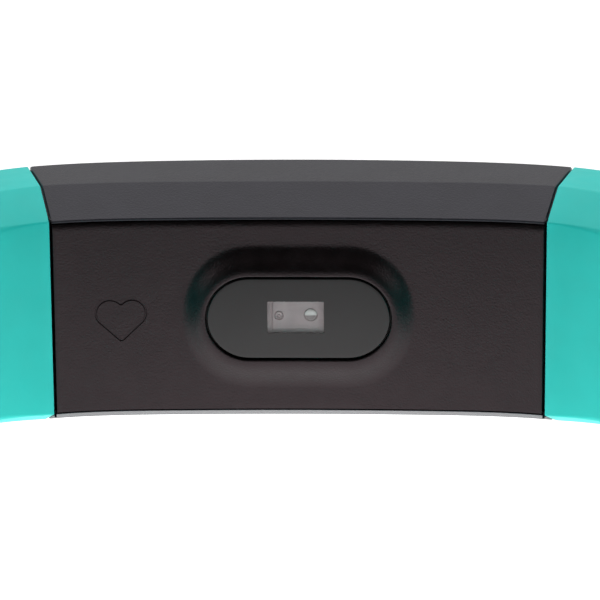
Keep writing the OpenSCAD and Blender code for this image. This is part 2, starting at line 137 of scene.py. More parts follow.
def clean(obj, sharp=35, weld=1e-7):
    """Welds doubled points, drops empty faces, turns the faces outwards and sets the shading."""
    bm = bmesh.new()
    bm.from_mesh(obj.data)
    bmesh.ops.remove_doubles(bm, verts=bm.verts, dist=weld)
    bmesh.ops.dissolve_degenerate(bm, edges=bm.edges, dist=weld)
    bmesh.ops.recalc_face_normals(bm, faces=bm.faces)
    bm.to_mesh(obj.data)
    bm.free()
    obj.data.shade_smooth()
    obj.data.set_sharp_from_angle(angle=math.radians(sharp))
    return obj


def apply_modifiers(obj):
    """Turns what the modifiers give into the object's own mesh."""
    depsgraph = bpy.context.evaluated_depsgraph_get()
    mesh = bpy.data.meshes.new_from_object(obj.evaluated_get(depsgraph))
    obj.modifiers.clear()
    old = obj.data
    obj.data = mesh
    bpy.data.meshes.remove(old)
    return obj


def boolean(obj, other, operation, sharp=35):
    """Joins or cuts obj with other, which is then removed."""
    modifier = obj.modifiers.new("boolean", "BOOLEAN")
    modifier.operation = operation
    modifier.object = other
    modifier.solver = "MANIFOLD"
    apply_modifiers(obj)
    bpy.data.objects.remove(other)
    return clean(obj, sharp, weld=2e-6)


def cut(obj, other, sharp=35):
    return boolean(obj, other, "DIFFERENCE", sharp)


def bevel(obj, width):
    """Rounds the edges that turn by more than 50 degrees."""
    modifier = obj.modifiers.new("bevel", "BEVEL")
    modifier.width = width * MM
    modifier.segments = 2
    modifier.limit_method = "ANGLE"
    modifier.angle_limit = math.radians(50)
    return apply_modifiers(obj)


def flatten_shading(obj):
    """Weights the normals by face area, so that large faces read flat beside their small rounds."""
    modifier = obj.modifiers.new("weighted_normals", "WEIGHTED_NORMAL")
    modifier.keep_sharp = True
    modifier.weight = 80
    return obj


def rounded(points, radii, steps=4, closed=True):
    """An outline with its corners rounded by arcs; each corner gives steps + 1 points."""
    pts = [np.array(p, float) for p in points]
    n = len(pts)
    out = []
    for i, p in enumerate(pts):
        if not closed and i in (0, n - 1):
            out.append(p)
            continue
        before, after = pts[i - 1] - p, pts[(i + 1) % n] - p
        lb, la = np.linalg.norm(before), np.linalg.norm(after)
        u, v = before / lb, after / la
        half = math.acos(np.clip(u @ v, -1, 1)) / 2
        if half > math.pi / 2 - 1e-4:
            out.extend([p] * (steps + 1))
            continue
        reach = min(radii[i] / math.tan(half), 0.48 * lb, 0.48 * la)
        r = reach * math.tan(half)
        centre = p + (u + v) / np.linalg.norm(u + v) * (r / math.sin(half))
        a, b = p + u * reach - centre, p + v * reach - centre
        turn = math.pi - 2 * half
        for k in range(steps + 1):
            w = k / steps
            out.append(centre + (a * math.sin((1 - w) * turn) + b * math.sin(w * turn)) / math.sin(turn))
    return np.array(out)


def unit(rows):
    """Each row scaled to length 1."""
    return rows / np.maximum(np.linalg.norm(rows, axis=1, keepdims=True), 1e-9)


def inset(outline, amount):
    """Moves a closed outline's points inwards along their normals."""
    ahead = np.roll(outline, -1, 0) - outline
    behind = outline - np.roll(outline, 1, 0)
    tangent = unit(unit(ahead) + unit(behind))
    normal = np.stack([-tangent[:, 1], tangent[:, 0]], 1)
    after = np.roll(outline, -1, 0)
    area = np.sum(outline[:, 0] * after[:, 1] - outline[:, 1] * after[:, 0])
    return outline + normal * amount * (1 if area > 0 else -1)


class Shell:
    """Collects points and faces of one piece."""

    def __init__(self):
        self.verts = []
        self.faces = []

    def add(self, points):
        start = len(self.verts)
        self.verts.extend(np.asarray(points, float).reshape(-1, 3))
        return start

    def grid(self, rows, closed=False, loop=False, skip=None):
        """Quads between rows of points. closed joins each row's ends, loop the last row and the first."""
        count, width = len(rows), len(rows[0])
        start = self.add(np.array(rows))
        for i in range(count if loop else count - 1):
            for j in range(width if closed else width - 1):
                if skip and skip(i, j):
                    continue
                k, m = (j + 1) % width, (i + 1) % count
                self.faces.append((start + i * width + j, start + i * width + k,
                                   start + m * width + k, start + m * width + j))

    def cap(self, *rings):
        """One face over each ring of points."""
        for ring in rings:
            start = self.add(ring)
            self.faces.append(tuple(range(start, start + len(ring))))

    def build(self, name, sharp=35):
        return make_mesh(name, self.verts, self.faces, sharp)


def loft(name, rings, sharp=35):
    """A solid through closed rings, with a face at each end."""
    shell = Shell()
    shell.grid(rings, closed=True)
    shell.cap(rings[0], rings[-1])
    return shell.build(name, sharp)


def hoop(name, sections, sharp=35):
    """A ring-shaped solid through closed sections."""
    shell = Shell()
    shell.grid(sections, closed=True, loop=True)
    return shell.build(name, sharp)


def prism(name, outline, low, high, place):
    """A straight block between two copies of an outline; place makes a point of (a, b, height)."""
    return loft(name, [[place(a, b, level) for a, b in outline] for level in (low, high)])


TURN_STEPS = 40


def turn(profile, place):
    """Rows of (radius, height) points turned round an axis; place makes a point of (a, b, height)."""
    angles = [2 * math.pi * i / TURN_STEPS for i in range(TURN_STEPS)]
    return [[place(r * math.cos(a), r * math.sin(a), h) for r, h in profile] for a in angles]


def turned(name, profile, place, sharp=35):
    """A turned solid whose profile starts and ends on the axis."""
    shell = Shell()
    shell.grid(turn(profile, place), loop=True)
    return shell.build(name, sharp)


def circle(radius):
    angles = np.linspace(0, 2 * math.pi, TURN_STEPS + 1)[:-1]
    return [(radius * math.cos(a), radius * math.sin(a)) for a in angles]


# ---- the tracker's plan ----


def plan_terms():
    """Even polynomial for how far the skin face sags: it meets the seam at the end walls' lean."""
    square = 0.0018
    slope = math.tan(END_A)
    drop = CAD_CORNER[1] - (CAD_CORNER[0] - HALF_L) * slope
    rows = [[HALF_L**4, HALF_L**6], [4 * HALF_L**3, 6 * HALF_L**5]]
    wanted = [drop - square * HALF_L**2, slope - 2 * square * HALF_L]
    return (square, *np.linalg.solve(rows, wanted))


PLAN = plan_terms()


def sag(x):
    """How far the skin face falls back at x from where it is at mid length."""
    return PLAN[0] * x**2 + PLAN[1] * x**4 + PLAN[2] * x**6


def plan_normal(x):
    slope = 2 * PLAN[0] * x + 4 * PLAN[1] * x**3 + 6 * PLAN[2] * x**5
    size = np.sqrt(1 + slope**2)
    return slope / size, 1 / size


def plan_point(x, t, z):
    """The point at depth t below the skin face and height z off the mid-plane."""
    nx, ny = plan_normal(x)
    return np.stack(np.broadcast_arrays(x + t * nx, SKIN_Y - sag(x) + t * ny, Z0 + z), -1)


def stations(extra=(), end=HALF_L, edge=END_ROUND):
    """Places along the tracker, with two close to each end for its rounded edge."""
    inner = list(np.linspace(-end + 0.6, end - 0.6, 49))
    ends = [end, end - 0.3 * edge, end - edge]
    both = [s * v for v in [*ends, *extra] for s in (-1, 1)]
    return np.array(sorted(set(inner + both)))


# ---- case ----


def case_profile(x, side=1):
    """Outline of a side wall as (depth, height) points, and the indices of its named corners."""
    lip, soft = (LIP_TOP, 0.24) if side > 0 else (LIP_LOW, 0.05)
    bulge = 1 - min(1, abs(x) / HALF_L) ** 2
    rim_t, rim_z = RIM_T - 0.15 + RIM_BULGE * bulge, RIM_HALF + 0.12 * bulge
    corners = [
        ("ledge", (1.3, 8.05), 0), ("pocket", (1.3, lip), 0.05), ("lip_in", (0, lip), 0.02),
        ("lip_out", (0, FACE_HALF), soft), ("crease", (CREASE_T, CREASE_HALF), 0.5),
        ("rim", (rim_t, rim_z), 0.3), ("shoulder", (rim_t + 0.25, rim_z - 0.55), 0.3),
        ("edge", (rim_t + 0.25, 10.02), 0.08), ("glass_floor", (10.5, 10.02), 0.05),
        ("glass_ledge", (10.5, 9.5), 0), ("room_top", (4.2, 9.9), 0.3), ("room_low", (2.2, 8.05), 0.2),
    ]
    steps = 4
    outline = rounded([c[1] for c in corners], [max(c[2], 0.001) for c in corners], steps)
    first = {c[0]: i * (steps + 1) for i, c in enumerate(corners)}
    last = {name: i + steps for name, i in first.items()}
    return outline, first, last


CONTACT_X = 2.6
CONTACT_T = 7.6


def contact_cutter(x):
    """A stepped plug that opens the hole of one charging contact, with a small chamfer at its mouth."""
    profile = [(0, -1), (1.15, -1), (1.15, 0.02), (0.97, 0.16), (0.97, 3.4), (0, 3.4)]
    return turned("contact_cutter", profile, lambda a, b, h: (a + x, b + SKIN_Y + CONTACT_T, h))


def build_case():
    """The case: two side walls swept along the plan and joined by the end walls."""
    xs = stations((HALF_L - ROOM_END, HALF_L - GLASS_END))
    outline, first, last = case_profile(0)
    glass_from, room_from = last["shoulder"], first["glass_ledge"]
    visible = slice(first["lip_out"], glass_from + 1)

    def wall(x, side):
        pts = case_profile(x, side)[0]
        pull = quarter_round(HALF_L - abs(x), END_ROUND)
        if pull:
            pts[visible] = inset(pts, pull)[visible]
        return plan_point(x, pts[:, 0], side * pts[:, 1])

    def in_end(i, reach):
        return min(abs(xs[i]), abs(xs[i + 1])) > HALF_L - reach - 1e-6

    def skip(i, j):
        if j >= room_from:
            return in_end(i, ROOM_END)
        return j >= glass_from and in_end(i, GLASS_END)

    def across(i, ring):
        """Both walls' points along a ring of the profile, at one place along the tracker."""
        return [up[i][j] for j in ring] + [down[i][j] for j in reversed(ring)]

    up, down = ([wall(x, side) for x in xs] for side in (1, -1))
    shell = Shell()
    for rows in (up, down):
        shell.grid(rows, closed=True, skip=skip)
    for i in range(len(xs) - 1):
        for near, reach in ((0, ROOM_END), (room_from, ROOM_END), (glass_from, GLASS_END)):
            if in_end(i, reach) and not (near == room_from and in_end(i, GLASS_END)):
                shell.cap([up[i][near], up[i + 1][near], down[i + 1][near], down[i][near]])
    inner_walls = ((ROOM_END, [*range(room_from, len(outline)), 0]),
                   (GLASS_END, range(glass_from, room_from + 1)))
    for i, x in enumerate(xs):
        for reach, ring in inner_walls:
            if abs(abs(x) - (HALF_L - reach)) < 1e-6:
                shell.cap(across(i, ring))
    for i in (0, len(xs) - 1):
        above, below = (case_profile(xs[i], side)[0][:glass_from + 1] * (1, side) for side in (1, -1))
        small = inset(np.vstack([above, below[::-1]]), SEAM_DEEP)
        far = math.copysign(abs(xs[i]) + SEAM_LIP, xs[i])
        steps = [plan_point(x, small[:, 0], small[:, 1]) for x in (xs[i], far)]
        shell.grid([across(i, range(glass_from + 1)), *steps], closed=True)
        shell.cap(steps[-1])
    case = shell.build("case")
    for x in (-CONTACT_X, CONTACT_X):
        cut(case, contact_cutter(x))
    return flatten_shading(case)


# ---- back cover ----

HUMP_EDGE = LENS_GAP + 0.17  # where the hump's flat top ends
PLATE_X = 12.4  # half the length of the block that carries the hump
OPENING = -0.7  # edge of the opening behind the window, measured from the window's edge
POCKET_T = -0.45  # depth of the ledge behind the window
COVER_END = HALF_L - 0.03
COVER_ROUND = 0.12
COVER_SOFT = 0.8  # width and depth of the soft fall along the cover's upper edge
COVER_FALL = 0.16


def hump_run(way):
    """How wide the hump's slope is in a direction: steepest at the window's round ends, gentlest below."""
    return HUMP_RUN * (1 - 0.22 * way[0] ** 2 + 0.13 * max(0, -way[1]))


def stadium_ray(x, z):
    """The ray from the window's centre line to a point: its foot, its direction and its length outside."""
    c = (LENS_L - LENS_W) / 2
    foot = max(-c, min(c, x))
    reach = math.hypot(x - foot, z)
    return foot, ((x - foot) / reach, z / reach), reach - LENS_W / 2


def ray_place(ray, d):
    """The x and z on a ray at distance d outside the window's edge."""
    foot, way, _ = ray
    return foot + way[0] * (LENS_W / 2 + d), way[1] * (LENS_W / 2 + d)


def pocket_point(ray, d, t):
    """A point of the window's pocket or of the opening behind it, at depth t."""
    x, z = ray_place(ray, d)
    return (x, SKIN_Y + t, Z0 + z)


def hump_point(ray, d, height):
    """A point of the hump, whose top is flat and whose foot follows the plan."""
    x, z = ray_place(ray, d)
    share = height / HUMP_H
    return (x, SKIN_Y - (1 - share) * sag(x) - height, Z0 + z)


def plate_border():
    """Points round the block of the cover that carries the hump, and its x and z places."""
    xs = np.linspace(-PLATE_X, PLATE_X, 33)
    zs = np.linspace(-COVER_LOW + COVER_ROUND, COVER_TOP - COVER_SOFT, 25)
    border = [(x, zs[0]) for x in xs[:-1]] + [(xs[-1], z) for z in zs[:-1]]
    border += [(x, zs[-1]) for x in xs[:0:-1]] + [(xs[0], z) for z in zs[:0:-1]]
    return border, xs, zs


def cover_edge_t(x):
    """How deep the cover's front face lies at x: it rounds off at the ends."""
    return quarter_round(COVER_END - abs(x), COVER_ROUND)


def build_cover():
    """The back cover: a thin curved plate with the hump, the window's pocket and the opening behind it."""
    shell = Shell()
    border, xs_mid, zs = plate_border()
    rays = [stadium_ray(x, z) for x, z in border]
    pocket = [(OPENING, COVER_T), (OPENING, POCKET_T), (LENS_GAP, POCKET_T)]
    rim = [(LENS_GAP, 0.1), (LENS_GAP + 0.012, 0.045), (LENS_GAP + 0.045, 0.012), (LENS_GAP + 0.09, 0),
           (HUMP_EDGE, 0)]
    slope = [k / 16 for k in range(1, 17)]
    rows = [[pocket_point(ray, d, t) for ray in rays] for d, t in pocket]
    rows += [[hump_point(ray, d, HUMP_H - drop) for ray in rays] for d, drop in rim]
    rows += [[hump_point(ray, HUMP_EDGE + hump_run(ray[1]) * k, HUMP_H * (1 - smooth(k))) for ray in rays]
             for k in slope]
    rows += [[hump_point(ray, mix(HUMP_EDGE + hump_run(ray[1]), ray[2], share), 0) for ray in rays]
             for share in (0.35, 0.7, 1)]
    shell.grid(rows, closed=True)
    # the back of the same block
    back = []
    for share in (1, 0.5):
        places = [ray_place(ray, mix(OPENING, ray[2], share)) for ray in rays]
        back.append([plan_point(x, COVER_T, z) for x, z in places])
    shell.grid([*back, rows[0]], closed=True)
    # the plain stretches on both sides of the block
    end_xs = [*np.linspace(PLATE_X, COVER_END - 0.4, 14), *(COVER_END - d for d in (0.12, 0.04, 0.01, 0))]
    for side in (1, -1):
        front = [plan_point(side * x, cover_edge_t(x), zs) for x in end_xs]
        behind = [plan_point(side * x, COVER_T, zs) for x in end_xs]
        for sheet in (front, behind, [front[-1], behind[-1]]):
            shell.grid(sheet)
    # the long edges
    xs_all = [*(-x for x in end_xs[:0:-1]), *xs_mid, *end_xs[1:]]
    arc = np.linspace(0, math.pi / 2, 5)
    fall = np.linspace(0, 1, 10)
    top_edge = (COVER_FALL * fall**3, COVER_TOP - COVER_SOFT * (1 - fall))
    low_edge = (COVER_ROUND * (1 - np.cos(arc)), COVER_LOW - COVER_ROUND * (1 - np.sin(arc)))
    for side, (drop, reach) in ((1, top_edge), (-1, low_edge)):
        heights = side * np.array([*reach, reach[-1], reach[0]])
        strip = []
        for x in xs_all:
            depths = np.array([*np.maximum(cover_edge_t(x), drop), COVER_T, COVER_T])
            strip.append(plan_point(x, depths, heights))
        shell.grid(strip)
        shell.cap(strip[0], strip[-1])
    cover = shell.build("cover")
    cut(cover, mark_cutter(), sharp=30)
    return flatten_shading(cover)


MARK_AT = (-15.95, -0.35)
MARK_LOBE = 1.25
MARK_LINE = 0.2
MARK_DEEP = 0.13


def even(points, count):
    """Places points at even steps along a closed curve."""
    closed = np.vstack([points, points[:1]])
    along = np.concatenate([[0], np.cumsum(np.linalg.norm(np.diff(closed, axis=0), axis=1))])
    wanted = np.linspace(0, along[-1], count + 1)[:-1]
    return np.stack([np.interp(wanted, along, closed[:, i]) for i in (0, 1)], 1)


def heart_outline(count=240):
    """A plain heart: two round lobes joined to a point, softened all round."""
    centre, tip = np.array([0.8, 0.5]) * MARK_LOBE, np.array([0, -1.65]) * MARK_LOBE
    towards = tip - centre
    last = math.atan2(towards[1], towards[0]) + math.acos(MARK_LOBE / np.linalg.norm(towards))
    first = math.pi - math.acos(centre[0] / MARK_LOBE)
    turns = np.linspace(first, last, 60)
    right = centre + MARK_LOBE * np.stack([np.cos(turns), np.sin(turns)], 1)
    left = right[::-1][:-1] * [-1, 1]
    points = even(np.vstack([right, [tip], left]), count)
    for _ in range(16):
        points = (np.roll(points, 1, 0) + 2 * points + np.roll(points, -1, 0)) / 4
    return points


def mark_cutter():
    """A heart-shaped ring of V section, sunk into the cover beside the hump."""
    line = heart_outline()
    outer, inner = inset(line, -MARK_LINE / 2), inset(line, MARK_LINE / 2)
    rows = []
    for points in zip(line, inner, outer):
        middle, a, b = (np.add(MARK_AT, p) for p in points)
        section = [(a, 0.0), (mix(a, middle, 0.45), MARK_DEEP), (mix(b, middle, 0.45), MARK_DEEP), (b, 0.0),
                   (b, -0.3), (a, -0.3)]
        rows.append([plan_point(p[0], t, p[1]) for p, t in section])
    return hoop("mark_cutter", rows)


# ---- window and sensor ----

PANE_T = LENS_SUNK - HUMP_H  # depth of the window's face
PANE_BACK = 0.6 - HUMP_H
PANE_ROUND = 0.1
WINDOW_BACK = -0.96  # depth of the back of the window's thin part
APERTURE = (-2.79, 2.28, -1.37, 1.61)  # the window's clear part
CLEAR_GAP = 0.004
MASK_T = -0.56
MASK_THICK = 0.06
PACKAGE_T = -0.72  # depth of the sensor package's face
BOARD_T = 0.45
LED_AT = (-1.76, 0.2)
LED_R = 0.34
DIODE_AT = (1.1, 0.25)
DIODE_R = 0.56
DIODE_H = 0.18


def stadium(length, width, count=28):
    """A closed stadium outline."""
    c, r = (length - width) / 2, width / 2
    angles = np.linspace(-math.pi / 2, math.pi / 2, count)
    right = [(c + r * math.cos(a), r * math.sin(a)) for a in angles]
    return np.array(right + [(-x, -z) for x, z in right])


def skin_prism(name, outline, low, high):
    """A cutter or block with its outline in the skin's plane, between two depths."""
    return prism(name, outline, low, high, lambda x, z, t: (x, SKIN_Y + t, Z0 + z))


def grown_aperture(x0, x1, z0, z1, corner=0.1):
    """The window's clear part as an outline, grown by an amount at each edge."""
    left, right, low, high = APERTURE
    x0, x1, z0, z1 = left - x0, right + x1, low - z0, high + z1
    return rounded([(x0, z0), (x1, z0), (x1, z1), (x0, z1)], [corner] * 4, 5)


def build_pane():
    """The polished window in one piece: a flat slot-shaped pane with softly rounded edges."""
    base = stadium(LENS_L, LENS_W, 32)
    edge = [(1 - math.sin(a), 1 - math.cos(a)) for a in (math.pi / 2 * k / 6 for k in range(7))]
    levels = [(PANE_ROUND + 0.25, PANE_T), *((PANE_ROUND * a, PANE_T + PANE_ROUND * b) for a, b in edge),
              (0, PANE_BACK)]
    rows = [[(x, SKIN_Y + t, Z0 + z) for x, z in inset(base, pull)] for pull, t in levels]
    return loft("window", rows, sharp=50)


def build_window():
    """The pane's black field, which is thin round its opening, and the clear part in that opening."""
    field, clear = build_pane(), build_pane()
    clear.name = "window_clear"
    hollow = grown_aperture(0.5, 0.5, 0.5, 0.5, 0.3)
    cut(field, skin_prism("hollow", hollow, WINDOW_BACK, 2), sharp=50)
    cut(field, skin_prism("hole", grown_aperture(0, 0, 0, 0), -3, 2), sharp=50)
    plug = grown_aperture(*[-CLEAR_GAP] * 4)
    boolean(clear, skin_prism("plug", plug, -3, WINDOW_BACK), "INTERSECT", sharp=50)
    return field, clear


def build_mask():
    """The dark print behind the window, with the sensor's rectangular opening."""
    mask = skin_prism("mask", stadium(LENS_L - 0.1, LENS_W - 0.1), MASK_T, MASK_T + MASK_THICK)
    opening = grown_aperture(0.4, 0.4, 0.4, 0.3)
    return cut(mask, skin_prism("aperture", opening, -2, 2), sharp=50)


def on_package(at):
    """Places turned points round an axis towards the skin, with heights above the package's face."""
    return lambda a, b, h: (at[0] + a, SKIN_Y + PACKAGE_T - h, Z0 + at[1] + b)


def build_package():
    """The optical package: a moulded block with a step, a groove and channels round its two lenses."""
    left, right, low, high = APERTURE
    block = skin_prism("package", grown_aperture(0.2, 0.2, 0.2, 0.06, 0.2), PACKAGE_T, BOARD_T)
    groove = grown_aperture(-0.4, left + 0.5 - right, 1, 1, 0.03)
    step = grown_aperture(1, 1, 1, low + 0.3 - high, 0.03)
    for outline, deep in ((groove, 0.14), (step, 0.04)):
        cut(block, skin_prism("groove", outline, -2, PACKAGE_T + deep))
    for at, inner, wide, deep in ((LED_AT, LED_R, 0.1, 0.16), (DIODE_AT, DIODE_R, 0.05, 0.08)):
        section = [(inner, 0.3), (inner + wide, 0.3), (inner + wide, -deep), (inner, -deep)]
        cut(block, hoop("channel", turn(section, on_package(at))))
    return bevel(block, 0.025)


def build_led():
    """The light source: a small raised ring round a low lens."""
    profile = [(0, -0.05), (LED_R - 0.01, -0.05), (LED_R - 0.01, 0.06), (0.3, 0.1), (0.24, 0.1), (0.2, 0.05),
               (0.15, 0.04), (0.12, 0.1), (0.06, 0.14), (0, 0.15)]
    return turned("led_lens", profile, on_package(LED_AT), sharp=50)


def build_photodiode():
    """The light detector: a clear, low dome."""
    r, base = DIODE_R - 0.01, 0.02
    arc = np.linspace(0, math.pi / 2, 12)[:-1]
    dome = [(r * math.cos(a), base + (DIODE_H - base) * math.sin(a)) for a in arc]
    profile = [(0, -0.05), (r, -0.05), *dome, (0, DIODE_H)]
    return turned("photodiode_dome", profile, on_package(DIODE_AT), sharp=50)


# ---- display side ----

GLASS_HALF = 9.9
GLASS_LOW = 10.7
GLASS_TOP = 11.35
GLASS_ROUND = 0.25


def build_glass():
    """The cover glass: flat across most of its width, with rounded long edges."""
    end = HALF_L - GLASS_END - 0.1
    rows = []
    for x in stations(end=end, edge=GLASS_ROUND):
        top = GLASS_TOP + RIM_BULGE * (1 - (x / HALF_L) ** 2)
        pull = quarter_round(end - abs(x), GLASS_ROUND)
        arc = [(top - pull - 0.5 * (1 - math.cos(a)) * (1 - pull), GLASS_HALF - 0.9 + 0.9 * math.sin(a))
               for a in np.linspace(0, math.pi / 2, 8)]
        upper = [(GLASS_LOW, GLASS_HALF), *reversed(arc)]
        section = np.array(upper + [(t, -z) for t, z in reversed(upper)])
        rows.append(plan_point(x, section[:, 0], section[:, 1]))
    return flatten_shading(loft("glass", rows))


# ---- straps ----

BEND_L = BEND_R * (math.pi / 2 - END_A)
CORNER = (CAD_CORNER[0], SKIN_Y - CAD_CORNER[1])


def heading(s):
    """The strap's direction at length s, as an angle off the skin side's normal."""
    return END_A + min(max(s, 0), BEND_L) / BEND_R


def skin_point(s):
    """The skin side of the buckle strap at length s from the seam."""
    h = heading(s)
    run, back = max(0, s - BEND_L), min(0, s)
    return (CORNER[0] + BEND_R * (math.sin(h) - math.sin(END_A)) + back * math.cos(END_A),
            CORNER[1] + BEND_R * (math.cos(h) - math.cos(END_A)) - run - back * math.sin(END_A))


def fullness(s):
    """1 where the strap is as thick as the case, falling to 0 past its turn."""
    return 1 - float(smooth((s - 3) / (BEND_L + 1 - 3)))


def strap_thickness(s):
    return mix(STRAP_T, RIM_T, fullness(s))


def strap_half_width(s):
    return mix(CREASE_HALF, STRAP_HALF, min(1, max(0, s) / TAPER_L))


FLAT = 8  # divisions across the strap's flat faces
CORNERS = 24  # points round each long edge: four rounded corners of six points
FRONT = [2 * (FLAT - 1 + CORNERS) - 1, *range(FLAT)]  # a section's points along its skin side
BACK = list(range(FLAT + CORNERS - 2, 2 * FLAT + CORNERS - 1))


def strap_section(s, half=None, thick=None, pull=0.0):
    """Closed section of the strap at length s, as (depth, height) points, in a fixed order."""
    k = fullness(s)
    soft = float(smooth((s + 0.3) / 9))
    t = thick if thick is not None else strap_thickness(s)
    w = half if half is not None else strap_half_width(s)
    low = min(0.75, 0.3 * t)
    corners = [
        ((0, w - mix(0.55, CREASE_HALF - FACE_HALF, k)), mix(0.25, 1.1, soft)),
        ((mix(low, CREASE_T, k), w), mix(0.5, 2.2, soft)),
        ((t - mix(low, 0.15, k), w - mix(0, 0.2, k)), mix(0.3, 1.6, soft)),
        ((t, w - mix(0.6, 0.75, k)), mix(0.3, 1.6, soft)),
    ]
    limit = 0.45 * t
    edge = rounded([(0, 0), *[c[0] for c in corners], (t, 0)],
                   [0, *[min(c[1], limit, 0.9 * w) for c in corners], 0], 5, closed=False)[1:-1]
    low_flat = np.linspace(-edge[0][1], edge[0][1], FLAT + 1)
    high_flat = np.linspace(edge[-1][1], -edge[-1][1], FLAT + 1)
    front = [(0.0, z) for z in low_flat[1:-1]]
    back = [(t, z) for z in high_flat[1:-1]]
    lower = [(p[0], -p[1]) for p in edge[::-1]]
    ring = np.array([*front, *edge, *back, *lower])
    return inset(ring, pull) if pull else ring


def strap_ring(s, side, shift=0.0, **more):
    """The section's points in space; side 1 is the buckle strap and -1 the hole strap."""
    section = strap_section(s, **more)
    p, h = skin_point(s), heading(s)
    depth = section[:, 0] + shift
    x = side * (p[0] + math.sin(h) * depth)
    y = p[1] + math.cos(h) * depth
    return np.stack([x, y, Z0 + section[:, 1]], 1)


def root_rings(side, to):
    """Rings from the seam to length to, with a small round at the seam."""
    start = -(CAD_CORNER[0] - HALF_L) / math.cos(END_A) + SEAM_GAP
    edge = 0.12
    rings = [strap_ring(start, side, pull=edge), strap_ring(start + 0.3 * edge, side, pull=0.3 * edge),
             strap_ring(start + edge, side)]
    rings += [strap_ring(s, side) for s in np.arange(0.6, BEND_L + 1, 0.8)]
    rings += [strap_ring(s, side) for s in np.linspace(BEND_L + 1, to, 14)]
    return rings


SHORT_SPLITS = (31.0, 47.2)  # where each strap's three lengths meet
LONG_SPLITS = (32.0, 50.5)
LONG_L = 108.0
FIRST_HOLE = 64.0
HOLE_PITCH = 6.0
HOLES = 7
HOLE_R = 1.35
TIP_L = 7.5  # length of the rounded tip


def span(name, side, start, end, step=0.8):
    count = max(2, round((end - start) / step))
    return loft(name, [strap_ring(s, side) for s in np.linspace(start, end, count + 1)])


def hole_patch(shell, rings, side, s_mid):
    """Closes both flat faces round one hole and lines it, with a small round at each rim."""
    p = skin_point(s_mid)
    count = len(rings) - 1
    linings = []
    for columns, t, inward in ((FRONT, 0.0, 1), (BACK, STRAP_T, -1)):
        border = [rings[0][j] for j in columns[:-1]] + [rings[i][columns[-1]] for i in range(count)]
        border += [rings[-1][j] for j in columns[:0:-1]]
        border += [rings[i][columns[0]] for i in range(count, 0, -1)]
        rows = [np.array(border)]
        way = unit(rows[0][:, 1:] - (p[1], Z0))
        for wider, deep in ((0.75, 0), (0.28, 0), (0.12, 0.05), (0.03, 0.14), (0, 0.28)):
            x = np.full(len(way), side * (p[0] + t + inward * deep))
            rows.append(np.column_stack([x, (p[1], Z0) + way * (HOLE_R + wider)]))
        shell.grid(rows, closed=True)
        linings.append(rows[-1])
    # the two linings run in opposite orders of z, so the second is matched to the first by angle
    a, b = (np.arctan2(row[:, 2] - Z0, row[:, 1] - p[1]) for row in linings)
    order = [int(np.argmin(np.abs(np.angle(np.exp(1j * (b - v)))))) for v in a]
    shell.grid([linings[0], linings[1][order]], closed=True)


def tip_half(d):
    """Half width of the strap at distance d from its tip."""
    share = max(0.0, min(1.0, d / TIP_L))
    return STRAP_HALF * (1 - (1 - share) ** 2.4) ** (1 / 2.4)


def build_long_end():
    """The hole strap's last stretch, with its row of holes and its rounded tip."""
    side, shell = -1, Shell()
    cell = 8  # rings along each hole
    first_s = FIRST_HOLE - HOLE_PITCH / 2
    lengths = [*np.linspace(LONG_SPLITS[1], first_s, 14)]
    start = len(lengths) - 1
    for i in range(HOLES):
        at = first_s + i * HOLE_PITCH
        lengths += [*np.linspace(at, at + HOLE_PITCH, cell + 1)[1:]]
    lengths.append(LONG_L - 4)
    rings = [strap_ring(s, side, half=tip_half(LONG_L - s)) for s in lengths]
    for d in (3.4, 2.8, 2.2, 1.7, 1.25, 0.9, 0.6, 0.38, 0.2, 0.08, 0.02):
        lost = quarter_round(d, 0.9)
        ring = strap_ring(LONG_L - d, side, half=tip_half(d), thick=STRAP_T - 1.6 * lost)
        ring[:, 0] -= 0.8 * lost
        rings.append(ring)
    holed = range(start, start + HOLES * cell)
    faces = {*FRONT[:-1], *BACK[:-1]}
    shell.grid(rings, closed=True, skip=lambda i, j: i in holed and j in faces)
    for i in range(HOLES):
        first = start + i * cell
        hole_patch(shell, rings[first:first + cell + 1], side, FIRST_HOLE + i * HOLE_PITCH)
    shell.cap(rings[0], rings[-1])
    return shell.build("strap_long_end_piece")


BAR_S = 68.0  # where the spring bar lies along the strap
BARREL_R = 1.9
BAR_R = 0.82
SLOT_HALF = 1.7
SLOT_L = 3.2


def bar_place():
    p = skin_point(BAR_S)
    return p[0] + STRAP_T / 2, p[1]


def bar_bore(name, radius, half):
    """A cutter along the spring bar."""
    bx, by = bar_place()
    return prism(name, circle(radius), -half, half, lambda x, y, z: (bx + x, by + y, Z0 + z))


def build_short_end():
    """The buckle strap's last stretch: it rolls round the bar and is slotted for the tongue."""
    bx, by = bar_place()
    half = STRAP_T / 2
    rings = [strap_ring(s, 1) for s in np.linspace(SHORT_SPLITS[1], BAR_S - 3.2, 22)]
    offs = [*np.linspace(2.8, 0.2, 14), *(BARREL_R * math.sin(a) for a in np.linspace(0, -1.55, 18))]
    for off in offs:
        round_half = math.sqrt(max(0, BARREL_R**2 - off**2))
        thick = 2 * (math.hypot(max(round_half - half, 0), 0.04) + half if off > 0 else round_half)
        lost = quarter_round(off + BARREL_R, 0.5)
        rings.append(strap_ring(BAR_S - off, 1, shift=half - thick / 2, thick=thick, half=STRAP_HALF - lost))
    strap = loft("strap_short_end_piece", rings)
    top = by + SLOT_L - SLOT_HALF
    arch = [(-SLOT_HALF * math.cos(a), top + SLOT_HALF * math.sin(a)) for a in np.linspace(0, math.pi, 17)]
    path = [(-SLOT_HALF, by - 4), *arch, (SLOT_HALF, by - 4)]
    cut(strap, prism("slot", path, bx - 4, bx + 4, lambda z, y, x: (x, y, Z0 + z)))
    bevel(strap, 0.16)
    clean(strap)
    return cut(strap, bar_bore("bore", BAR_R, 12))


